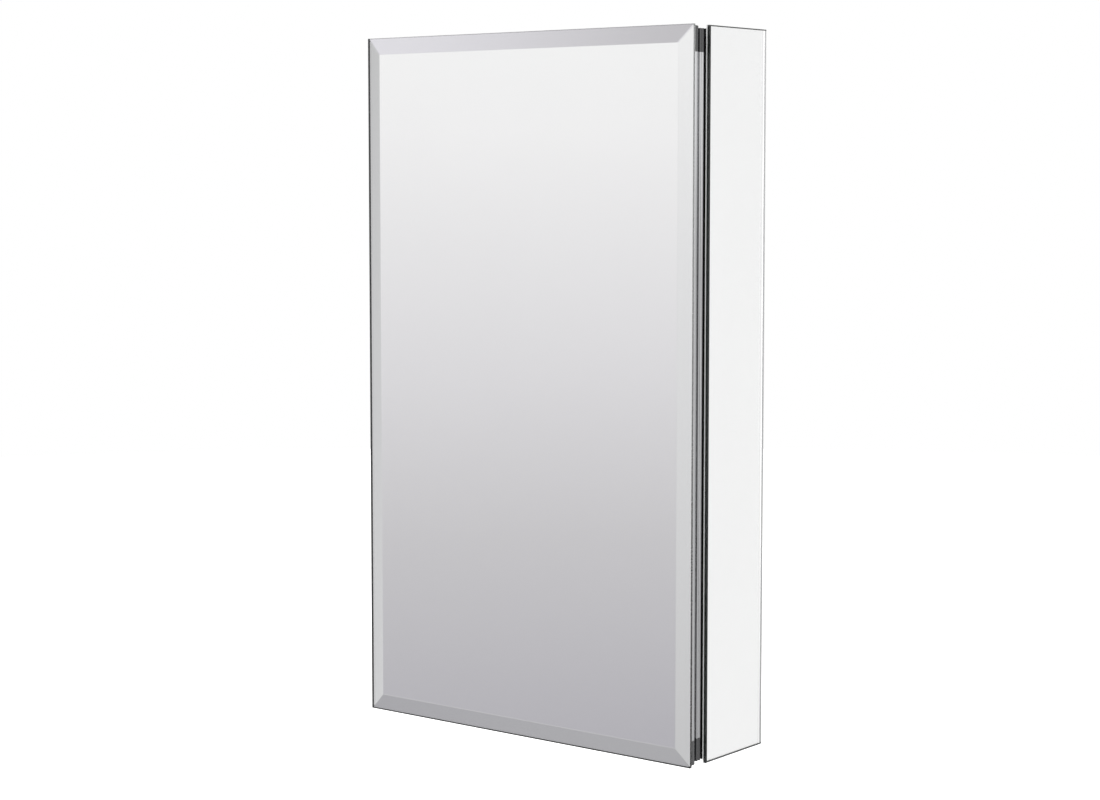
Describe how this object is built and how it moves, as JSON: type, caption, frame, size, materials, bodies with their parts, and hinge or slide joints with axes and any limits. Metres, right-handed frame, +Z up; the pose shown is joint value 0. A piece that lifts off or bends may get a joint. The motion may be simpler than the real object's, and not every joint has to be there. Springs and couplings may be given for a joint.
{
  "type": "medicine cabinet",
  "caption": "Wall-hung medicine cabinet: bevelled mirror door on a continuous hinge, mirrored sides, magnetic catch and glass shelves.",
  "frame": {"origin": "centre of the four wall screws on the back face, at the middle of the cabinet's height", "axes": "+X to the right seen from the front, +Y into the wall, +Z up; the door's mirror faces -Y"},
  "size_m": [0.386, 0.118, 0.6604],
  "materials": {
    "door_mirror": "silvered glass, bevelled",
    "side_mirror": "silvered glass, ground edges",
    "inside_mirror": "silvered glass",
    "frame_aluminium": "satin anodised",
    "case_aluminium": "satin anodised",
    "sheet_aluminium": "mill finish",
    "corner_plastic": "fine moulded grain",
    "seal_rubber": "matt black",
    "shelf_glass": "clear float glass, polished edge",
    "clip_plastic": "moulded",
    "hinge_steel": "bright drawn",
    "screw_steel": "zinc plated",
    "strike_steel": "zinc plated",
    "catch_plastic": "moulded",
    "magnet": "sintered ferrite",
    "tape": "closed cell foam"
  },
  "bodies": {
    "cabinet": {"case_side_left": "case_aluminium", "case_side_right": "case_aluminium", "case_top": "case_aluminium", "case_bottom": "case_aluminium", "case_screws": "screw_steel", "back_plate": "sheet_aluminium", "back_rivets": "screw_steel", "back_mirror": "inside_mirror", "back_mirror_tape": "tape", "wall_grommets": "clip_plastic", "shelf_upper": "shelf_glass", "shelf_middle": "shelf_glass", "shelf_lower": "shelf_glass", "shelf_clips_upper": "clip_plastic", "shelf_clips_middle": "clip_plastic", "shelf_clips_lower": "clip_plastic", "side_rail_left_front": "sheet_aluminium", "side_rail_left_rear": "sheet_aluminium", "side_rail_right_front": "sheet_aluminium", "side_rail_right_rear": "sheet_aluminium", "side_rail_rivets_left": "screw_steel", "side_rail_rivets_right": "screw_steel", "side_sheet_left": "sheet_aluminium", "side_sheet_right": "sheet_aluminium", "side_mirror_left": "side_mirror", "side_mirror_right": "side_mirror", "side_seal_left": "seal_rubber", "side_seal_right": "seal_rubber", "seal_top": "seal_rubber", "seal_bottom": "seal_rubber", "seal_latch": "seal_rubber", "hinge_leaf_case": "hinge_steel", "hinge_pin": "hinge_steel", "hinge_rivets_case": "screw_steel", "catch_housing": "catch_plastic", "catch_magnet": "magnet", "catch_poles": "strike_steel", "catch_screws": "screw_steel"},
    "door": {"front_mirror": "door_mirror", "inner_mirror": "inside_mirror", "stile_hinge": "frame_aluminium", "stile_latch": "frame_aluminium", "rail_top": "frame_aluminium", "rail_bottom": "frame_aluminium", "corner_block_top_hinge": "corner_plastic", "corner_block_top_latch": "corner_plastic", "corner_block_bottom_hinge": "corner_plastic", "corner_block_bottom_latch": "corner_plastic", "frame_screws": "screw_steel", "hinge_leaf_door": "hinge_steel", "hinge_rivets_door": "screw_steel", "catch_strike": "strike_steel", "strike_screws": "screw_steel"}
  },
  "joints": [
    {"name": "door_hinge", "type": "hinge", "parent": "cabinet", "child": "door", "pos_m": [-0.1886, -0.0928, 0], "axis": [0, 0, -1], "range_deg": [0, 100]}
  ]
}
